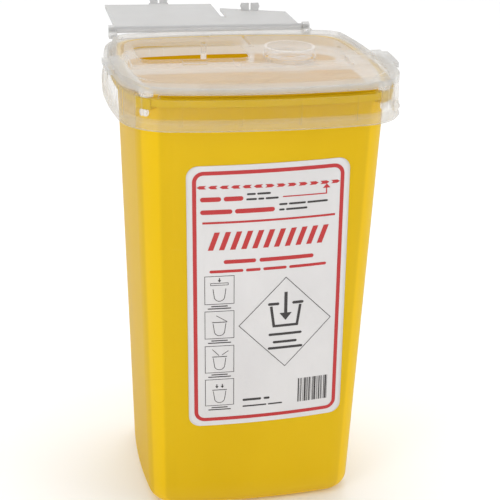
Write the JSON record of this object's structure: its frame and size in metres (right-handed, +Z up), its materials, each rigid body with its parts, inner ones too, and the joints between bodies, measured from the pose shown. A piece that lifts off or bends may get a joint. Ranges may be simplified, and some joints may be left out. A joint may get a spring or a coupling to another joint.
{
  "type": "sharps container",
  "caption": "Tapered open bin with a translucent push-on lid, a hinged closing flap, a round needle port and a front label.",
  "frame": {"origin": "centre of the base, on the plane that the container stands on", "axes": "+Z up, -Y towards the labelled front, +X to the right as seen from the front"},
  "size_m": [0.1046, 0.141, 0.1698],
  "materials": {
    "yellow_plastic": "semi-gloss",
    "frosted_plastic": "frosted",
    "clear_plastic": "clear",
    "label_print": "satin"
  },
  "bodies": {
    "bin": {"container": "yellow_plastic", "label": "label_print"},
    "lid_body": {"lid": "frosted_plastic", "needle_port": "clear_plastic"},
    "flap_body": {"flap": "frosted_plastic"}
  },
  "joints": [
    {"name": "lid_lift", "type": "slide", "parent": "bin", "child": "lid_body", "axis": [0, 0, 1], "range_m": [0, 0.06]},
    {"name": "flap_hinge", "type": "hinge", "parent": "lid_body", "child": "flap_body", "pos_m": [0, 0.0444, 0.1667], "axis": [1, 0, 0], "range_deg": [0, 180]}
  ]
}
